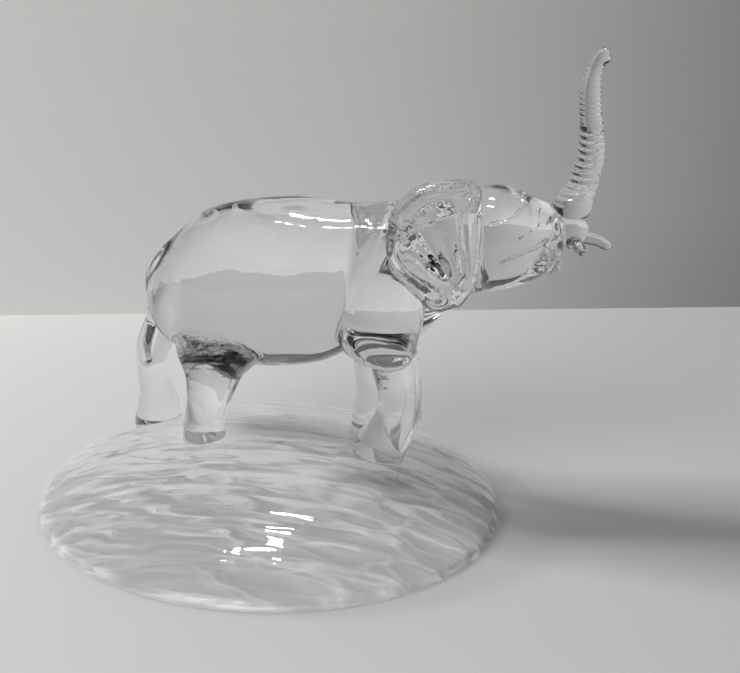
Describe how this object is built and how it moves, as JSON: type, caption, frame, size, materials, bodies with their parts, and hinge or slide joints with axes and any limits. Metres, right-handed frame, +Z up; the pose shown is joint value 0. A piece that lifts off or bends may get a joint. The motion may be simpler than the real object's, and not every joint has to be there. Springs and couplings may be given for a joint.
{
  "type": "crystal glass figurine",
  "caption": "Clear crystal elephant figurine with raised trunk, standing on a round domed glass base with a frosted, wave-worked underside.",
  "frame": {"origin": "centre of the round base's flat underside, on the surface that the figurine stands on", "axes": "+Z up out of the base, +X the way the elephant faces, +Y towards the elephant's left side"},
  "size_m": [0.191, 0.16, 0.165],
  "materials": {
    "clear_crystal": "fire-polished clear crystal",
    "base_glass": "polished clear dome over a frosted, wave-worked underside",
    "clear_bond": "clear cured adhesive film"
  },
  "bodies": {
    "root": {"base": "base_glass", "torso": "clear_crystal", "head": "clear_crystal", "lower_jaw": "clear_crystal", "trunk": "clear_crystal", "tusk_left": "clear_crystal", "tusk_right": "clear_crystal", "ear_left": "clear_crystal", "ear_right": "clear_crystal", "shoulder_left": "clear_crystal", "shoulder_right": "clear_crystal", "front_leg_left": "clear_crystal", "front_leg_right": "clear_crystal", "hind_leg_left": "clear_crystal", "hind_leg_right": "clear_crystal", "tail": "clear_crystal", "front_bond_left": "clear_bond", "front_bond_right": "clear_bond", "hind_bond_left": "clear_bond", "hind_bond_right": "clear_bond"}
  },
  "joints": []
}
